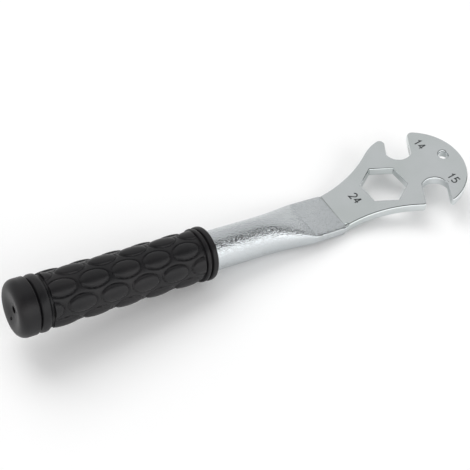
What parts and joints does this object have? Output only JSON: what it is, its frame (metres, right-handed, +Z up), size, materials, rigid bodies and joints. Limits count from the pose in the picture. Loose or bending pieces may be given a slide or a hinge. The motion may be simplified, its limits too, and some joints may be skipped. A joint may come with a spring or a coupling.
{
  "type": "pedal wrench",
  "caption": "Flat wrench head with a hexagon and two open jaws, set at an angle on a steel tube with a pressed end and a dark moulded grip with oval pads.",
  "frame": {"origin": "centre of the hexagon, at the middle of the plate's thickness", "axes": "+X towards the head's tip, level; +Z up from the table that the tool lies on; the handle slopes 7.6 degrees down towards the head and the head plate rises 9.4 degrees towards its tip"},
  "size_m": [0.2867, 0.0626, 0.0438],
  "materials": {
    "head_steel": "bright zinc plating, smooth",
    "tube_steel": "bright zinc plating, fine grain",
    "grip_rubber": "matte moulded rubber"
  },
  "bodies": {
    "root": {"head_plate": "head_steel", "handle_tube": "tube_steel", "grip": "grip_rubber"}
  },
  "joints": []
}
